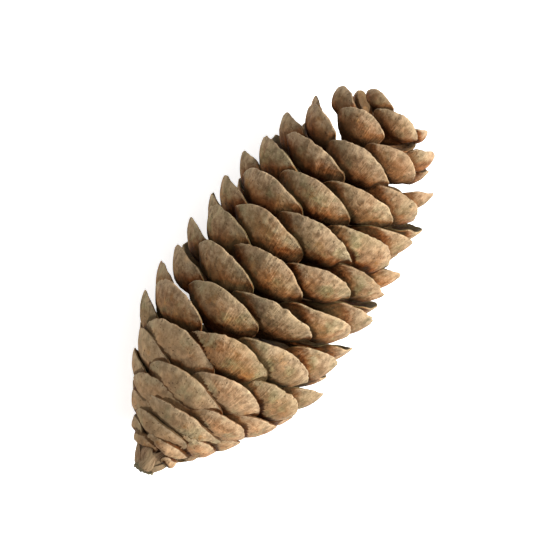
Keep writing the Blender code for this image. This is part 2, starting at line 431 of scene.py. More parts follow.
# The bracts round the stalk
# Small pointed leaves of dry bark, grown on the stalk just below the first scales. They stand in
# the same spiral, and hide where the stub goes into the cone.
GOLDEN_ANGLE = math.radians(137.508)
BRACT_COUNT = 13
BRACT_STATIONS = (0.8 * MM, 2.5 * MM)
BRACT_LENGTH = 3.4 * MM
BRACT_HALF_WIDTH = 1.2 * MM
BRACT_THICKNESS = 0.34 * MM
BRACT_LEAN = math.radians(31)
BRACT_LEAN_GAIN = math.radians(10)
BRACT_LEAN_SPREAD = math.radians(4)
BRACT_TURN_SPREAD = math.radians(5)
BRACT_SIZES = (0.8, 1.15)
BRACT_ROOT_DEPTH = 0.88
BRACT_ROOT_WIDTH = 0.72
BRACT_WIDENING = 1.4
BRACT_POINTING = 2.2
BRACT_THINNING = 0.65
BRACT_BENDING = 0.35
KEEL_HEIGHT = 0.8
KEEL_WIDTH = 0.3 * MM
BRACT_WAVE = 0.16 * MM
BRACT_WAVES_PER_METRE = 900
BRACT_WAVES_ALONG = 3
BRACT_RINGS = 14
BRACT_SIDES = 22
BRACT_SEED = 77
PHASES = (0, 50)
BRACT_DARK = (0.150, 0.080, 0.040, 1)
BRACT_PALE = (0.420, 0.265, 0.150, 1)
BRACT_FADED = (0.300, 0.235, 0.130, 1)


def bract_point(bract, along, turn):
    """A point of one bract: rings from its base to its tip, flat and bent round the stalk."""
    station, facing, lean, size, phase = bract
    half_width = size * BRACT_HALF_WIDTH * min(BRACT_ROOT_WIDTH + BRACT_WIDENING * along, 1)
    half_width *= 1 - along ** BRACT_POINTING
    across = (half_width + LEAST_RADIUS) * math.cos(turn)
    keel = 1 + KEEL_HEIGHT * math.exp(-(across / KEEL_WIDTH) ** 2)
    thick = BRACT_THICKNESS * (1 - BRACT_THINNING * along) * keel * math.sin(turn) / 2
    place = Vector((BRACT_WAVES_PER_METRE * across, BRACT_WAVES_ALONG * along, phase))
    wave = BRACT_WAVE * along * noise.noise(place)
    way = size * BRACT_LENGTH * along
    bend = lean - BRACT_BENDING * lean * along ** 2
    radius = BRACT_ROOT_DEPTH * STUB_RADIUS + way * math.sin(bend)
    radius += (thick + wave) * math.cos(bend)
    station += way * math.cos(bend) - thick * math.sin(bend)
    return round_axis(facing + across / max(radius, STUB_RADIUS), station, radius)


def blade_rings(rings, sides):
    """Each point of a blade made of rings: its share along, and its turn round the blade."""
    for ring in range(rings):
        for side in range(sides):
            yield ring / (rings - 1), math.tau * side / sides


def build_bracts():
    """All the bracts as one piece, each a closed body."""
    chance = random.Random(BRACT_SEED)
    points, faces, marks = [], [], {"ray": [], "reach": []}
    for number in range(BRACT_COUNT):
        share = number / (BRACT_COUNT - 1)
        station = BRACT_STATIONS[0] + (BRACT_STATIONS[1] - BRACT_STATIONS[0]) * share
        lean = BRACT_LEAN + BRACT_LEAN_GAIN * share + chance.gauss(0, BRACT_LEAN_SPREAD)
        facing = GOLDEN_ANGLE * number + chance.gauss(0, BRACT_TURN_SPREAD)
        bract = (station, facing, lean, chance.uniform(*BRACT_SIZES), chance.uniform(*PHASES))
        faces += turned_faces(BRACT_RINGS, BRACT_SIDES, len(points))
        for along, turn in blade_rings(BRACT_RINGS, BRACT_SIDES):
            points.append(bract_point(bract, along, turn))
            marks["ray"].append(math.cos(turn))
            marks["reach"].append(along + number)
    return mesh_piece("stalk_bracts", points, faces, marks)


def bract_wood():
    """Dull brown bark, streaked along each bract and grey-green where it has weathered."""
    material, tree, shader = new_material("bract_wood", roughness=0.85, specular=0.1)
    grain = grouped(
        tree,
        GRAIN,
        {"Across": mark(tree, "ray"), "Along": mark(tree, "reach"), "Seed": 0.52, "Streaks": 9.0},
    )
    colour = blend(tree, grain["Shade"], BRACT_DARK, BRACT_PALE)
    faded = grouped(
        tree,
        FADING,
        {"Colour": colour, "Faded": BRACT_FADED, "Amount": 0.45, "Patch size": 0.0018},
    )
    tree.links.new(faded["Colour"], shader.inputs["Base Color"])
    add_bump(tree, shader, grain["Height"], distance=0.2 * MM, strength=0.9)
    return material


bracts = build_bracts()
bracts.data.materials.append(bract_wood())
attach(bracts, "root")
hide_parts("cone")


# The scales of the closed base
# Thin cupped blades of fibrous wood, one golden angle round the axis from the last. Near the
# stalk they stay nearly shut, so only a crescent of each shows, pale against the painted shade
# between them.
CONE_LENGTH = 60 * MM
CONE_RADIUS = 14.1 * MM
WIDEST_STATION = 24 * MM
STALK_LENGTH = 2.5 * MM
STALK_RADIUS = 1.6 * MM
BASE_ROUNDNESS = 1.6
TOP_BLUNTNESS = 0.4
TOP_OVERRUN = 0.7 * MM
SLOPE_STEP = 0.3 * MM

SCALE_COUNT = 104
FIRST_TURN = math.radians(74.8)
FIRST_STATION = 4.225 * MM
RISE_AT_BASE = 0.50 * MM
RISE_IN_MIDDLE = 0.55 * MM
RISE_AT_TOP = 0.30 * MM
BASE_SCALES = (0, 10)
TOP_SCALES = (95, 106)

SCALE_HALF_WIDTH = 5.6 * MM
CLAW_SHARE = 0.36
FANNING = 1.15
ROUND_END = 0.42
ROUND_END_TO_WIDTH = 0.72
POINT_SHARE = 0.07
POINT_SHARPNESS = 4
WIDENING_STATIONS = (3 * MM, 10 * MM)
LEAST_WIDTH_SHARE = 0.55
TOP_NARROWING = 0.45
WIDTH_TO_RADIUS = 0.95
WIDTH_BEYOND_RADIUS = 0.6 * MM

SWELLING = 2.1 * MM
SHUT_SWELLING_SHARE = 0.45
TOP_FLATTENING = 0.4
INNER_SWELLING_SHARE = 0.6
SWELLING_RISE = (0.30, 0.70)
SWELLING_FALL_TO_MARGIN = 4
SWELLING_FALL_TO_SIDES = 2.5
CUPPING = 15.0
WRAPPING = 0.75
LEAST_WRAP_HEADING = 0.2
LEAST_WRAP_RADIUS = 3 * MM

SHUT_LIFT = math.radians(15)
OPEN_LEAN = math.radians(50)
SHUT_ROOT_LEAN = math.radians(60)
OPEN_ROOT_LEAN = math.radians(80)
CLOSING_TURN = math.radians(14)
CLOSING_ROOT_TURN = math.radians(12)
TOP_TURN = math.radians(10)
OPEN_STATIONS = (18.5 * MM, 26.5 * MM)
CLOSING_STATIONS = (46 * MM, 60 * MM)
TOP_STATIONS = (53 * MM, 60 * MM)
ROOT_DROP = 8 * MM
LOWEST_ROOT_STATION = 1 * MM
ROOT_DEPTH_SHARE = 0.5
OUTER_SHARE = 0.5
LEAST_INNER_PART = 0.2 * MM

SEED = 1004
LEAN_SPREAD = math.radians(3.5)
SHUT_SPREAD_SHARE = 0.3
TURN_SPREAD = math.radians(2.2)
WIDTH_SPREAD = 0.06
ROLL_SPREAD = math.radians(4)

RAY_ANGLE = math.radians(112)
RAYS = 55
ROWS = 21
ROW_CROWDING = 1.3
CREST_HEIGHT = 0.45
SIDE_ROUNDING = 0.4
LONGEST_BLADE = 1.03
MARGIN_THICKNESS = 0.24 * MM
HEART_THICKNESS = 0.65 * MM
HEART_FALL = 4
EDGE_SWELLING_SHARE = 0.8

# The wear of the margin: waves round it, a shift that tells them apart, how much each counts
NICKS = ((2.2, 0, 0.8), (7, 5, 0.5), (15, 9, 0.4))
NICK_LEVEL = 0.1
MARGIN_WEAR = 0.030
WEAR_SPREAD = (0.5, 1.6)
WEAR_SPAN = 0.75
LOPSIDE_SPREAD = 0.06

# The waves, curls, ridges and lumps: how many across and along a blade, and their shifts
SCALE_PHASES = (0, 100)
MARGIN_WAVE = 0.35 * MM
WAVE_SPREAD = (0.4, 1.3)
SHUT_WAVE_SHARE = 0.15
WAVE_PATTERN = (1.9, 1.3, 0)
CURL_IN_MM = (-0.30, 0.25)
CURL_ROWS = (0.7, 1.0)
CURL_SPAN = 0.8
RIDGE_HEIGHT = 0.09 * MM
RIDGE_PATTERN = (8.5, 1.1, 40)
RIDGE_FADING = 0.5
LUMP_HEIGHT = 0.12 * MM
LUMP_PATTERN = (4.6, 9, 60)
LUMP_FALL = 6

# The two seed beds of an inner face: middle and half size across and along, and the soft rim
IMPRINT_DEPTH = 0.14 * MM
IMPRINT_ACROSS = (0.36, 0.27)
IMPRINT_ALONG = (0.48, 0.36)
IMPRINT_RIM = (0.55, 1.0)

# The patches of the wood: how many per metre, and a shift that tells each kind from the others
WARM_PATCHES = (240.0, 0.0)
OLIVE_PATCHES = (300.0, 0.31)
ORANGE_PATCHES = (400.0, 0.53)
MOTTLING = (1100.0, 0.17)
CLOUD_DETAIL = 4.0
CLOUD_ROUGHNESS = 0.62

# Where a pattern starts and ends, and for some the shares that it runs between
WARM_EDGES = (0.55, 0.95)
OLIVE_EDGES = (0.48, 0.66, 0.0, 0.85)
ORANGE_EDGES = (0.57, 0.70, 0.0, 0.7)
# A bleached margin, and a painted highlight along it
BLEACHED_HIGHLIGHT_EDGES = (0.95, 1.17, 0.0, 0.60)
# Painted shade: half shade, then full shade, where other scales hide the sky
PAINTED_HALF_SHADE_EDGES = (0.72, 1.08)
PAINTED_SHADE_EDGES = (0.50, 0.88)
SEAM_EDGES = (0.25, 0.62)
MOTTLE_EDGES = (0.34, 0.66)
BED_EDGES = (0.3, 0.9)
INNER_MARGIN_EDGES = (0.86, 1.0, 0.0, 0.5)
OUTER_EDGES = (0.2, 0.6)

# A share of one pattern, added to a number
TINT_SHARE = 0.35
RAGGEDNESS = 0.30
SEAM_RAGGEDNESS = 0.25
BED_RAGGEDNESS = 0.25
MOTTLE_SHADE = (0.55, 0.70)
STREAK_SHADE = (0.16, 0.92)
BAND_SHADE = (0.24, 0.88)
MOTTLE_ROUGHNESS = (0.25, 0.60)
MOTTLE_HEIGHT = 1.2
FINE_STREAKS = 30.0
WIDE_STREAKS = 6.0

# BLEACHED_HIGHLIGHT is the bleached margin and also a painted highlight on it
BLEACHED_HIGHLIGHT = (0.385, 0.295, 0.185, 1)
ORANGE = (0.360, 0.160, 0.046, 1)
# PAINTED_HALF_SHADE is the colour of the painted half shade between the scales
PAINTED_HALF_SHADE = (0.200, 0.066, 0.018, 1)
BED_WOOD = (0.13, 0.058, 0.022, 1)
INNER_WOOD = (0.042, 0.014, 0.0045, 1)


def tip_radius(station):
    """Distance of the scale tips from the axis: a cone at the base, a barrel, a blunt top."""
    if station < WIDEST_STATION:
        short = (WIDEST_STATION - station) / (WIDEST_STATION - STALK_LENGTH)
        return STALK_RADIUS + (CONE_RADIUS - STALK_RADIUS) * (1 - min(short, 1) ** BASE_ROUNDNESS)
    past = (station - WIDEST_STATION) / (CONE_LENGTH + TOP_OVERRUN - WIDEST_STATION)
    return CONE_RADIUS * (1 - min(past, 1) ** 3) ** TOP_BLUNTNESS


def tip_slope(station):
    """Angle of the outline of the tips against the axis."""
    rise = tip_radius(station + SLOPE_STEP) - tip_radius(station - SLOPE_STEP)
    return math.atan2(rise, 2 * SLOPE_STEP)


def scale_stations():
    """Station of each scale's tip, from the lowest scale to the topmost."""
    stations = []
    station = FIRST_STATION
    for number in range(SCALE_COUNT):
        stations.append(station)
        above_base = ease(number, *BASE_SCALES)
        near_top = ease(number, *TOP_SCALES)
        rise = RISE_AT_BASE + (RISE_IN_MIDDLE - RISE_AT_BASE) * above_base
        station += rise - (RISE_IN_MIDDLE - RISE_AT_TOP) * near_top
    return stations


class Scale:
    """One scale: its place on the spiral, its lean, its width and its own small differences."""

    def __init__(self, number, station):
        chance = random.Random(SEED + number)
        opened = ease(station, *OPEN_STATIONS)
        closing = ease(station, *CLOSING_STATIONS)
        radius = tip_radius(station)

        shut_lean = max(tip_slope(station), 0) + SHUT_LIFT
        lean = shut_lean + (OPEN_LEAN - shut_lean) * opened
        lean -= CLOSING_TURN * closing + TOP_TURN * ease(station, *TOP_STATIONS)
        spread = SHUT_SPREAD_SHARE + (1 - SHUT_SPREAD_SHARE) * opened
        lean += chance.gauss(0, LEAN_SPREAD) * spread
        root_lean = SHUT_ROOT_LEAN + (OPEN_ROOT_LEAN - SHUT_ROOT_LEAN) * opened
        root_lean -= CLOSING_ROOT_TURN * closing
        turn = FIRST_TURN - GOLDEN_ANGLE * number + chance.gauss(0, TURN_SPREAD)

        grown = ease(station, *WIDENING_STATIONS)
        width = SCALE_HALF_WIDTH * (LEAST_WIDTH_SHARE + (1 - LEAST_WIDTH_SHARE) * grown)
        width *= (1 - TOP_NARROWING * closing) * (1 + chance.gauss(0, WIDTH_SPREAD))
        self.half_width = min(width, WIDTH_TO_RADIUS * radius + WIDTH_BEYOND_RADIUS)
        self.roll = chance.gauss(0, ROLL_SPREAD)
        self.swelling = SWELLING * (SHUT_SWELLING_SHARE + (1 - SHUT_SWELLING_SHARE) * opened)
        self.swelling *= 1 - TOP_FLATTENING * closing
        self.outward = Vector((0, -math.sin(turn), math.cos(turn)))
        self.sideways = Vector((0, -math.cos(turn), -math.sin(turn)))

        # The mid line is a curve through the root, a knee and the tip: (station, radius)
        root_station = max(station - ROOT_DROP, LOWEST_ROOT_STATION)
        root_radius = ROOT_DEPTH_SHARE * axis_radius(root_station)
        outer_part = OUTER_SHARE * (radius - root_radius)
        self.tip = Vector((station, radius))
        self.knee = self.tip - outer_part * Vector((math.cos(lean), math.sin(lean)))
        inner_part = max((self.knee.y - root_radius) / math.sin(root_lean), LEAST_INNER_PART)
        self.root = self.knee - inner_part * Vector((math.cos(root_lean), math.sin(root_lean)))
        self.length = (self.tip - self.knee).length + (self.knee - self.root).length
        self.round_end = min(ROUND_END, ROUND_END_TO_WIDTH * self.half_width / self.length)

        # What only a close look shows
        detail = random.Random(SEED + SCALE_COUNT + number)
        self.opened = opened
        self.tint = detail.random()
        self.phase = detail.uniform(*SCALE_PHASES)
        self.wear = MARGIN_WEAR * detail.uniform(*WEAR_SPREAD)
        self.wave = MARGIN_WAVE * detail.uniform(*WAVE_SPREAD)
        self.wave *= SHUT_WAVE_SHARE + (1 - SHUT_WAVE_SHARE) * opened
        self.curl = detail.uniform(*CURL_IN_MM) * MM * opened
        self.lopside = detail.gauss(0, LOPSIDE_SPREAD)

    def pattern(self, ray, reach, waves):
        """Smooth noise over the blade, with its own phase."""
        across, along, shift = waves
        return noise.noise(Vector((across * ray, along * reach, self.phase + shift)))

    def margin(self, ray):
        """How far along the blade its worn edge lies, on a ray from the root."""
        along = 1 - self.round_end * (1 - math.cos(ray))
        along += POINT_SHARE * (max(math.cos(ray), 0) ** POINT_SHARPNESS - 1)
        along += self.lopside * math.sin(ray) * self.round_end
        nicks = sum(
            share * noise.noise(Vector((waves * ray, self.phase, shift)))
            for waves, shift, share in NICKS
        )
        return along + self.wear * max(math.cos(WEAR_SPAN * ray), 0) * (nicks - NICK_LEVEL)

    def point(self, ray, reach, side):
        """A point of the blade: side is +1 outside, -1 inside and 0 on the worn edge."""
        margin_across = self.half_width * math.sin(ray)
        root_across = CLAW_SHARE * self.half_width * ray / RAY_ANGLE
        across = root_across + (margin_across - root_across) * min(reach, 1) ** FANNING
        along = min(self.margin(ray) * reach, LONGEST_BLADE)

        before = 1 - along
        place = before ** 2 * self.root + 2 * before * along * self.knee + along ** 2 * self.tip
        heading = before * (self.knee - self.root) + along * (self.tip - self.knee)
        heading.normalize()
        away = heading.x * self.outward - heading.y * Vector((1, 0, 0))

        curving = WRAPPING * max(heading.x, LEAST_WRAP_HEADING) / max(place.y, LEAST_WRAP_RADIUS)
        curving += CUPPING * (1 + along) / 2
        normal = (away + across * curving * self.sideways).normalized()
        middle = 1 - min(abs(across) / self.half_width, 1) ** SWELLING_FALL_TO_SIDES
        swelling = self.swelling * middle * (1 - reach ** SWELLING_FALL_TO_MARGIN)
        swelling *= ease(along, *SWELLING_RISE)

        inside = middle * (1 - reach ** HEART_FALL)
        thickness = MARGIN_THICKNESS + (HEART_THICKNESS - MARGIN_THICKNESS) * inside
        wave = self.wave * self.pattern(ray, reach, WAVE_PATTERN) * reach ** 2
        wave += self.curl * ease(reach, *CURL_ROWS) * math.cos(CURL_SPAN * ray)
        if side > 0:
            ridge = self.pattern(ray, reach, RIDGE_PATTERN) * (1 - RIDGE_FADING * reach)
            lump = self.pattern(ray, reach, LUMP_PATTERN) * (1 - reach ** LUMP_FALL)
            offset = thickness / 2 + swelling + RIDGE_HEIGHT * ridge + LUMP_HEIGHT * lump
        elif side < 0:
            offset = INNER_SWELLING_SHARE * swelling - thickness / 2
            offset += IMPRINT_DEPTH * self.imprint(ray, reach) * self.opened
        else:
            offset = EDGE_SWELLING_SHARE * swelling
        point = axis_start + Vector((place.x, 0, 0)) + place.y * self.outward
        point += across * (math.cos(self.roll) * self.sideways + math.sin(self.roll) * away)
        point += (offset + wave) * normal - 0.5 * across ** 2 * curving * away
        point.z = max(point.z, 0.0)
        return point

    def imprint(self, ray, reach):
        """1 inside the two shallow beds where the seeds and their wings lay."""
        across = (abs(ray) / RAY_ANGLE - IMPRINT_ACROSS[0]) / IMPRINT_ACROSS[1]
        along = (reach - IMPRINT_ALONG[0]) / IMPRINT_ALONG[1]
        return 1 - ease(across ** 2 + along ** 2, *IMPRINT_RIM)


def scale_shell(scale, shell):
    """Add one closed blade to a shell of points, faces and marks."""
    points, faces, marks = shell
    start = len(points)
    rays = [RAY_ANGLE * (2 * index / (RAYS - 1) - 1) for index in range(RAYS)]
    loop = 2 * RAYS + 2
    for row in range(ROWS):
        reach = 1 - (1 - row / (ROWS - 1)) ** ROW_CROWDING
        ring = [(ray, 1) for ray in rays] + [(rays[-1], 0)]
        ring += [(ray, -1) for ray in reversed(rays)] + [(rays[0], 0)]
        for ray, side in ring:
            point = scale.point(ray, reach, side)
            if side == 0:
                rounding = math.copysign(SIDE_ROUNDING * MARGIN_THICKNESS, ray)
                point += rounding * scale.sideways
            points.append(point)
            marks["ray"].append(ray / RAY_ANGLE)
            marks["reach"].append(reach)
            marks["outer"].append((side + 1) / 2)
            marks["tint"].append(scale.tint)
            marks["imprint"].append(scale.imprint(ray, reach))
    for row in range(ROWS - 1):
        for index in range(loop):
            after = (index + 1) % loop
            low, high = start + row * loop, start + (row + 1) * loop
            faces.append((low + index, low + after, high + after, high + index))

    # The worn edge is rounded: a line of points between the two faces stands out a little
    last = start + (ROWS - 1) * loop
    crest = len(points)
    for ray in rays[1:-1]:
        points.append(scale.point(ray, 1 + CREST_HEIGHT * MARGIN_THICKNESS / scale.length, 0))
        marks["ray"].append(ray / RAY_ANGLE)
        marks["reach"].append(1.0)
        marks["outer"].append(0.5)
        marks["tint"].append(scale.tint)
        marks["imprint"].append(0.0)
    edge = [last + loop - 1] + list(range(crest, crest + RAYS - 2)) + [last + RAYS]
    outer = list(range(last, last + RAYS))
    inner = [last + loop - 2 - index for index in range(RAYS)]
    for index in range(RAYS - 1):
        faces.append((outer[index], outer[index + 1], edge[index + 1], edge[index]))
        faces.append((edge[index], edge[index + 1], inner[index + 1], inner[index]))
    root = [start + index for index in range(loop)]
    faces.append(tuple(reversed(root)))


def grow_scales(name, first, last):
    """One piece from the scales of a stretch of the spiral."""
    shell = ([], [], {"ray": [], "reach": [], "outer": [], "tint": [], "imprint": []})
    for number, station in enumerate(scale_stations()):
        if first <= number < last:
            scale_shell(Scale(number, station), shell)
    points, faces, marks = shell
    return mesh_piece(name, points, faces, marks)


def scale_wood(name, tan, warm, aged, painted_shade):
    """Scale wood: pale at the margin, partly as a painted highlight, and darkened by painted shade
    between the scales; dark brown inside them.
    """
    material, tree, shader = new_material(name, roughness=0.75, specular=0.05)
    ray, reach, outer, tint, imprint, open_sky, seam_shadow = (
        mark(tree, label) for label in ("ray", "reach", "outer", "tint", "imprint", "open_sky", "seam_shadow")
    )
    place = tree.nodes.new("ShaderNodeTexCoord").outputs["Object"]

    def streaks(count):
        """Grain along the blade, with so many streaks across it."""
        return grouped(tree, GRAIN, {"Across": ray, "Along": reach, "Seed": tint, "Streaks": count})

    def blotches(scale, shift):
        """Cloudy noise over the wood, told from another by its shift."""
        moved = add_node(
            tree, "ShaderNodeVectorMath", {0: place, 1: (shift, 0, 0)}, operation="ADD"
        )
        return clouds(tree, moved[0], scale, CLOUD_DETAIL, CLOUD_ROUGHNESS)

    def plus(value, share, base):
        """A share of one number added to another."""
        return maths(tree, "MULTIPLY_ADD", value, share, base)

    # Tan wood, with orange-brown patches and olive ones a few millimetres across
    warmth = between(tree, plus(tint, TINT_SHARE, blotches(*WARM_PATCHES)), *WARM_EDGES)
    outside = blend(tree, warmth, tan, warm)
    outside = blend(tree, between(tree, blotches(*OLIVE_PATCHES), *OLIVE_EDGES), outside, aged)
    outside = blend(tree, between(tree, blotches(*ORANGE_PATCHES), *ORANGE_EDGES), outside, ORANGE)

    # The margin is bleached, and paler still as a painted highlight; towards the neighbours painted
    # shade makes the wood redder, then nearly black
    mottle = blotches(*MOTTLING)
    # Bleached margin, paler still as a painted highlight along it
    wear_and_highlight = plus(mottle, RAGGEDNESS, reach)
    outside = blend(tree, between(tree, wear_and_highlight, *BLEACHED_HIGHLIGHT_EDGES), outside, BLEACHED_HIGHLIGHT)
    # Painted shade: redder, then nearly black, where other scales hide the sky
    ragged_shade = plus(mottle, RAGGEDNESS, open_sky)
    outside = blend(tree, between(tree, ragged_shade, *PAINTED_HALF_SHADE_EDGES), PAINTED_HALF_SHADE, outside)
    outside = blend(tree, between(tree, ragged_shade, *PAINTED_SHADE_EDGES), painted_shade, outside)
    # Painted shadow: nearly black close under the margin of a scale that stands over the wood
    crevice_shadow = plus(mottle, SEAM_RAGGEDNESS, seam_shadow)
    outside = blend(tree, between(tree, crevice_shadow, *SEAM_EDGES), outside, painted_shade)

    # Pale and dark flecks a little under a millimetre across, and fine fibres
    grain = streaks(FINE_STREAKS)
    mottled = plus(between(tree, mottle, *MOTTLE_EDGES), *MOTTLE_SHADE)
    streaked = plus(grain["Shade"], *STREAK_SHADE)
    banded = plus(streaks(WIDE_STREAKS)["Shade"], *BAND_SHADE)
    texture = maths(tree, "MULTIPLY", maths(tree, "MULTIPLY", mottled, streaked), banded)
    outside = blend(tree, 1.0, outside, texture, "MULTIPLY")

    bed = between(tree, plus(grain["Shade"], BED_RAGGEDNESS, imprint), *BED_EDGES)
    inside = blend(tree, bed, INNER_WOOD, BED_WOOD)
    inside = blend(tree, between(tree, reach, *INNER_MARGIN_EDGES), inside, aged)
    inside = blend(tree, 1.0, inside, texture, "MULTIPLY")

    colour = blend(tree, between(tree, outer, *OUTER_EDGES), inside, outside)
    faded = grouped(
        tree,
        FADING,
        {"Colour": colour, "Faded": aged, "Amount": 0.3, "Patch size": 0.006, "Specks": 0.7},
    )
    tree.links.new(faded["Colour"], shader.inputs["Base Color"])
    tree.links.new(plus(mottle, *MOTTLE_ROUGHNESS), shader.inputs["Roughness"])
    height = plus(mottle, MOTTLE_HEIGHT, grain["Height"])
    add_bump(tree, shader, height, distance=0.22 * MM, strength=0.9)
    return material


LAST_SHUT_SCALE = 29
base_scales = grow_scales("base_scales", 0, LAST_SHUT_SCALE)
base_scales.data.materials.append(
    scale_wood(
        "base_scale_wood",
        tan=(0.375, 0.226, 0.118, 1),
        warm=(0.370, 0.180, 0.077, 1),
        aged=(0.325, 0.248, 0.130, 1),
        # covered: the colour of the painted shade between these scales
        painted_shade=(0.080, 0.026, 0.0065, 1),
    )
)
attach(base_scales, "root")
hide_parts("cone")


# The open scales of the middle
# In dry air the outer side of each scale shrinks more than the inner, and bends it away from the
# axis. The seeds have dropped, and left two shallow beds on its dark inner face.
MIDDLE_SCALE = 55
LAST_OPEN_SCALE = 82
lower_scales = grow_scales("lower_middle_scales", LAST_SHUT_SCALE, MIDDLE_SCALE)
upper_scales = grow_scales("upper_middle_scales", MIDDLE_SCALE, LAST_OPEN_SCALE)
middle_wood = scale_wood(
    "middle_scale_wood",
    tan=(0.255, 0.144, 0.070, 1),
    warm=(0.305, 0.126, 0.040, 1),
    aged=(0.225, 0.176, 0.078, 1),
    # covered: the colour of the painted shade between these scales
    painted_shade=(0.038, 0.0090, 0.0010, 1),
)
for piece in (lower_scales, upper_scales):
    piece.data.materials.append(middle_wood)
    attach(piece, "root")
    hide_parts("cone")


# The small scales of the tip
# The last scales to grow are narrow, lean forwards and close over the end of the axis. They are
# the reddest, because they weathered least.
tip_scales = grow_scales("tip_scales", LAST_OPEN_SCALE, SCALE_COUNT)
tip_wood = scale_wood(
    "tip_scale_wood",
    tan=(0.220, 0.117, 0.056, 1),
    warm=(0.240, 0.094, 0.034, 1),
    aged=(0.215, 0.142, 0.066, 1),
    # covered: the colour of the painted shade between these scales
    painted_shade=(0.038, 0.0090, 0.0010, 1),
)
tip_scales.data.materials.append(tip_wood)
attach(tip_scales, "root")
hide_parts("cone")


# The bud at the tip
# The very last scales never opened. They are narrow blades of the same wood, grown close together
# round the end of the axis, which they hide.
BUD_COUNT = 9
BUD_ROOT_STATION = 54.0 * MM
BUD_ROOT_RADIUS = 0.9 * MM
BUD_TIP_STATIONS = (58.3 * MM, 59.1 * MM)
BUD_TIP_RADII = (3.7 * MM, 0.6 * MM)
BUD_HALF_WIDTHS = (2.3 * MM, 1.3 * MM)
BUD_THICKNESS = 0.42 * MM
BUD_BELLY = 0.35 * MM
BUD_SPREADING = 1.4
BUD_ROOT_WIDTH = 0.5
BUD_WIDENING = 0.9
BUD_ROUNDNESS = 5
BUD_THINNING = 0.5
BUD_BLUNTNESS = 0.30
BUD_EDGE = 0.03 * MM
BUD_WAVE = 0.14 * MM
BUD_WAVES_PER_METRE = 1100
BUD_WAVES_ALONG = 3
BUD_LEAST_WRAP = 1.6 * MM
BUD_FIRST_TURN = FIRST_TURN - GOLDEN_ANGLE * SCALE_COUNT
BUD_TURN_SPREAD = math.radians(4)
BUD_RINGS = 18
BUD_SIDES = 24
BUD_SEED = 12


def bud_point(leaf, along, turn):
    """A point of one blade of the bud: rings from its root to its round tip."""
    tip_station, tip_reach, width, facing, phase = leaf
    station = BUD_ROOT_STATION + (tip_station - BUD_ROOT_STATION) * along
    radius = BUD_ROOT_RADIUS + (tip_reach - BUD_ROOT_RADIUS) * along ** BUD_SPREADING
    radius += BUD_BELLY * math.sin(math.pi * along)
    half_width = width * min(BUD_ROOT_WIDTH + BUD_WIDENING * along, 1)
    half_width *= math.sqrt(max(1 - along ** BUD_ROUNDNESS, 0))
    across = (half_width + BUD_EDGE) * math.cos(turn)
    station -= BUD_BLUNTNESS * across ** 2 / width * along
    place = Vector((BUD_WAVES_PER_METRE * across, BUD_WAVES_ALONG * along, phase))
    radius += BUD_THICKNESS * (1 - BUD_THINNING * along) * math.sin(turn) / 2
    radius += BUD_WAVE * along * noise.noise(place)
    return round_axis(facing + across / max(radius, BUD_LEAST_WRAP), station, radius)


def build_bud():
    """All the blades of the bud as one piece, each a closed body."""
    chance = random.Random(BUD_SEED)
    points, faces = [], []
    marks = {"ray": [], "reach": [], "outer": [], "tint": [], "imprint": []}
    for number in range(BUD_COUNT):
        share = number / (BUD_COUNT - 1)
        tip_station, tip_reach, width = (
            outer + (inner - outer) * share
            for outer, inner in (BUD_TIP_STATIONS, BUD_TIP_RADII, BUD_HALF_WIDTHS)
        )
        facing = BUD_FIRST_TURN - GOLDEN_ANGLE * number + chance.gauss(0, BUD_TURN_SPREAD)
        leaf = (tip_station, tip_reach, width, facing, chance.uniform(*PHASES))
        tint = chance.random()
        faces += turned_faces(BUD_RINGS, BUD_SIDES, len(points))
        for along, turn in blade_rings(BUD_RINGS, BUD_SIDES):
            points.append(bud_point(leaf, along, turn))
            marks["ray"].append(math.cos(turn))
            marks["reach"].append(along)
            marks["outer"].append(1.0 if math.sin(turn) > 0 else 0.0)
            marks["tint"].append(tint)
            marks["imprint"].append(0.0)
    return mesh_piece("tip_bud", points, faces, marks)


bud = build_bud()
bud.data.materials.append(tip_wood)
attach(bud, "root")
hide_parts("cone")


# The painted shade
# The scale wood is painted with shade deep between the scales, and left pale at the tips.
# Each point of the cone gets a number for how much of the sky round it is free of other
# scales, and one for how near it lies to a scale that stands over it.
SKY_RAYS = 14
SKY_REACH = 5 * MM
SKY_SPREAD = 0.96
SKY_HIT_SHARE = 0.5
SEAM_RAYS = 9
SEAM_RISE = math.radians(24)
SEAM_REACH = 1.3 * MM
SEAM_NEAREST = 2
RAY_START = 0.04 * MM
STEEP = 0.8


def sky_directions():
    """Directions spread evenly over a half sphere about +Z, closer together near the pole."""
    directions = []
    for number in range(SKY_RAYS):
        height = math.sqrt(1 - (number + 0.5) / SKY_RAYS * SKY_SPREAD)
        turn = number * GOLDEN_ANGLE
        flat = math.sqrt(1 - height * height)
        directions.append((flat * math.cos(turn), flat * math.sin(turn), height))
    return np.array(directions)


def seam_directions():
    """Directions all round, a little above the surface."""
    directions = []
    for number in range(SEAM_RAYS):
        turn = math.tau * number / SEAM_RAYS
        flat = math.cos(SEAM_RISE)
        directions.append((flat * math.cos(turn), flat * math.sin(turn), math.sin(SEAM_RISE)))
    return np.array(directions)


def surface_frames(piece):
    """Each point of a piece, just above its surface, and three directions with the normal last."""
    count = len(piece.data.vertices)
    normals = np.empty(3 * count)
    piece.data.vertices.foreach_get("normal", normals)
    normals = normals.reshape(count, 3)
    places = np.empty(3 * count)
    piece.data.vertices.foreach_get("co", places)
    places = places.reshape(count, 3) + RAY_START * normals
    helper = np.where(np.abs(normals[:, :1]) < STEEP, [[1.0, 0, 0]], [[0, 1.0, 0]])
    first_side = np.cross(normals, helper)
    first_side /= np.linalg.norm(first_side, axis=1, keepdims=True)
    second_side = np.cross(normals, first_side)
    return places, np.stack((first_side, second_side, normals), axis=1)


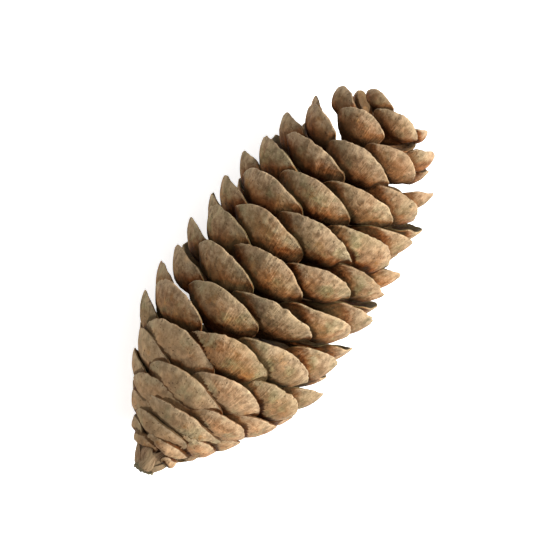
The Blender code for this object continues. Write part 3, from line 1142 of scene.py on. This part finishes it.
def free_ways(cone_tree, places, frames, directions, reach):
    """How far each ray gets from each point, as a share of its reach."""
    ways = np.ones((len(places), len(directions)))
    for point, (place, rays) in enumerate(zip(places.tolist(), (directions @ frames).tolist())):
        for number, ray in enumerate(rays):
            distance = cone_tree.ray_cast(place, ray, reach)[3]
            if distance is not None:
                ways[point, number] = distance / reach
    return ways


def mark_painted_shade(pieces):
    """Cast rays from every point of the pieces, and keep two marks for the painted shade: how open
    the sky is, and how near a scale stands over the point.
    """
    corners, faces = [], []
    for piece in pieces:
        first = len(corners)
        corners += [vertex.co.copy() for vertex in piece.data.vertices]
        faces += [[first + index for index in face.vertices] for face in piece.data.polygons]
    cone_tree = BVHTree.FromPolygons(corners, faces)
    for piece in pieces:
        places, frames = surface_frames(piece)
        # How open the sky is round each point sets the painted shade of the scale wood
        ways = free_ways(cone_tree, places, frames, sky_directions(), SKY_REACH)
        open_sky = np.where(ways < 1, SKY_HIT_SHARE * ways ** 2, 1).mean(axis=1)
        piece.data.attributes.new("open_sky", "FLOAT", "POINT").data.foreach_set("value", open_sky)
        # How near a scale stands over each point sets the painted shadow in the crevices
        ways = free_ways(cone_tree, places, frames, seam_directions(), SEAM_REACH)
        seam_shadow = 1 - np.sort(ways, axis=1)[:, :SEAM_NEAREST].mean(axis=1)
        piece.data.attributes.new("seam_shadow", "FLOAT", "POINT").data.foreach_set("value", seam_shadow)


# Marks for the painted shade and the painted shadow of the scale wood
mark_painted_shade([axis, stub, bracts, base_scales, lower_scales, upper_scales, tip_scales, bud])


# The table
# A plain near-white board under the cone, large enough to fill every view.
TABLE_SIZE = 3.0
TABLE_DROP = 0.02 * MM
TABLE_GLOW = 0.64
TABLE_WHITE = (0.90, 0.90, 0.895, 1)
TABLE_CORNERS = ((-1, -1), (1, -1), (1, 1), (-1, 1))
table_points = [
    (across * TABLE_SIZE / 2, along * TABLE_SIZE / 2, -TABLE_DROP)
    for across, along in TABLE_CORNERS
]
table = mesh_piece("table", table_points, [(0, 1, 2, 3)], {})
table_paint, table_tree, table_shader = new_material("table_paint", roughness=0.9, specular=0.1)
table_shader.inputs["Base Color"].default_value = TABLE_WHITE
table_shader.inputs["Emission Color"].default_value = (1, 1, 1, 1)
table_shader.inputs["Emission Strength"].default_value = TABLE_GLOW
table.data.materials.append(table_paint)


# The light
# One large soft lamp to the right of the view, a weaker one to the left, and a bright white room.
VIEW_TURN = math.radians(55)
view_right = Vector((math.cos(VIEW_TURN), -math.sin(VIEW_TURN), 0))
view_up = Vector((math.sin(VIEW_TURN), math.cos(VIEW_TURN), 0))
MIDDLE_STATION = 32 * MM
ROOM_LIGHT = 0.15
cone_middle = axis_start + Vector((MIDDLE_STATION, 0, 0))


def soft_lamp(name, across, along, height, size, watts):
    """A square soft box that faces the cone, placed by metres from the cone's middle."""
    lamp = bpy.data.lights.new(name, "AREA")
    lamp.size = size
    lamp.energy = watts
    box = bpy.data.objects.new(name, lamp)
    place = cone_middle + across * view_right + along * view_up + Vector((0, 0, height))
    box.location = place
    box.rotation_euler = (cone_middle - place).to_track_quat("-Z", "Y").to_euler()
    bpy.context.scene.collection.objects.link(box)


soft_lamp("key", across=0.48, along=0.02, height=0.39, size=0.26, watts=8.6)
soft_lamp("top", across=-0.05, along=0.12, height=0.60, size=0.50, watts=1.8)
room = bpy.data.worlds.new("room")
room.use_nodes = True
room.node_tree.nodes["Background"].inputs["Color"].default_value = (1, 1, 1, 1)
room.node_tree.nodes["Background"].inputs["Strength"].default_value = ROOM_LIGHT
bpy.context.scene.world = room
bpy.context.scene.view_settings.view_transform = "Standard"


# The camera
# It looks down on the cone through a long lens, a few degrees off the vertical, so that the stalk
# points to the lower left of the picture and the tip to the upper right.
VIEW_DISTANCE = 0.60
VIEW_HALF_WIDTH = 37 * MM
SENSOR_WIDTH = 36.0
CLIP_START = 0.01
VIEW_FROM = (-0.048, 0.128, 0.99)
towards_camera = Vector(VIEW_FROM).normalized()
right = (view_right - towards_camera * view_right.dot(towards_camera)).normalized()
up = towards_camera.cross(right)
lens = bpy.data.cameras.new("camera")
lens.sensor_width = SENSOR_WIDTH
lens.lens = SENSOR_WIDTH * VIEW_DISTANCE / (2 * VIEW_HALF_WIDTH)
lens.clip_start = CLIP_START
camera = bpy.data.objects.new("camera", lens)
placing = Matrix((right, up, towards_camera)).transposed().to_4x4()
placing.translation = cone_middle + towards_camera * VIEW_DISTANCE
camera.matrix_world = placing
bpy.context.scene.collection.objects.link(camera)
bpy.context.scene.camera = camera

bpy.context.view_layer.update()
